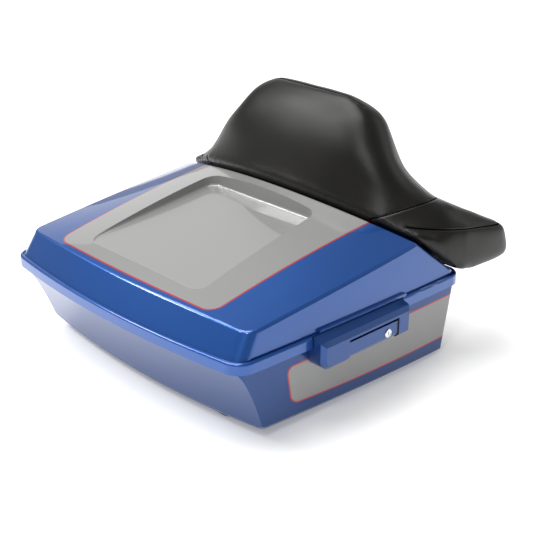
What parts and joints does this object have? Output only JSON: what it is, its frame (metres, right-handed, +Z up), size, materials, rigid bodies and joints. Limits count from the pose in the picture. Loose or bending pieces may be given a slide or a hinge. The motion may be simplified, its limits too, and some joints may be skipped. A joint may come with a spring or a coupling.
{
  "type": "motorcycle top case with backrest",
  "caption": "Moulded motorcycle top case with a domed hinged lid, a pull-handle latch with key lock, and a wrap-around passenger backrest on the lid.",
  "frame": {"origin": "centre of the four mounting bolt holes, on the flat underside of the mounting runners", "axes": "+Z up, +Y towards the front of the motorcycle (the backrest side), +X to the rider's right (the latch side)"},
  "size_m": [0.65, 0.668, 0.446],
  "materials": {
    "blue_paint": "moulded plastic with metallic blue paint and clearcoat",
    "zinc_plate": "zinc plated",
    "mat_rubber": "ribbed, matte",
    "seal_rubber": "matte",
    "black_steel": "satin black",
    "bright_chrome": "bright",
    "black_plastic": "moulded, fine grain",
    "black_vinyl": "vinyl-coated fabric with a fine grain, over foam"
  },
  "bodies": {
    "case": {"lower_case": "blue_paint", "base_plate": "zinc_plate", "floor_mat": "mat_rubber", "rim_gasket": "seal_rubber", "hinge_case_leaf_rear": "black_steel", "hinge_case_leaf_front": "black_steel", "hinge_pin_rear": "zinc_plate", "hinge_pin_front": "zinc_plate", "hinge_case_screws": "zinc_plate", "latch_housing": "blue_paint", "handle_pin": "zinc_plate", "handle_spring": "zinc_plate", "latch_bracket": "zinc_plate", "latch_screws": "zinc_plate", "catch_pins": "zinc_plate"},
    "lid": {"lid": "blue_paint", "hinge_lid_leaf_rear": "black_steel", "hinge_lid_leaf_front": "black_steel", "hinge_lid_screws": "zinc_plate", "striker_rear": "zinc_plate", "striker_front": "zinc_plate", "striker_screws": "zinc_plate", "backrest_carrier": "black_plastic", "backrest_stiffener": "zinc_plate", "backrest_bolts": "zinc_plate", "backrest_nuts": "zinc_plate", "backrest_cushion": "black_vinyl", "backrest_wing_left": "black_vinyl", "backrest_wing_right": "black_vinyl"},
    "handle": {"latch_handle": "blue_paint", "lock_ring": "bright_chrome"},
    "lock": {"lock_cylinder": "bright_chrome", "lock_cam": "zinc_plate"},
    "rear_catch": {"catch_rear": "zinc_plate"},
    "front_catch": {"catch_front": "zinc_plate"}
  },
  "joints": [
    {"name": "lid_hinge", "type": "hinge", "parent": "case", "child": "lid", "pos_m": [-0.3165, -0.02, 0.14], "axis": [0, -1, 0], "range_deg": [0, 92]},
    {"name": "handle_pivot", "type": "hinge", "parent": "case", "child": "handle", "pos_m": [0.316, -0.004, 0.135], "axis": [0, -1, 0], "range_deg": [0, 28], "stiffness_Nm_per_rad": 0.6, "springref_deg": -14.32},
    {"name": "lock_turn", "type": "hinge", "parent": "handle", "child": "lock", "pos_m": [0.32, 0.03, 0.124], "axis": [1, 0, 0], "range_deg": [0, 90]},
    {"name": "rear_catch_pivot", "type": "hinge", "parent": "case", "child": "rear_catch", "pos_m": [0.283, -0.066, 0.109], "axis": [-1, 0, 0], "range_deg": [0, 15.5]},
    {"name": "front_catch_pivot", "type": "hinge", "parent": "case", "child": "front_catch", "pos_m": [0.283, 0.058, 0.109], "axis": [1, 0, 0], "range_deg": [0, 15.5]}
  ],
  "couplings": [
    {"joint": "rear_catch_pivot", "follows": "handle_pivot", "ratio": 0.55},
    {"joint": "front_catch_pivot", "follows": "handle_pivot", "ratio": 0.55}
  ]
}
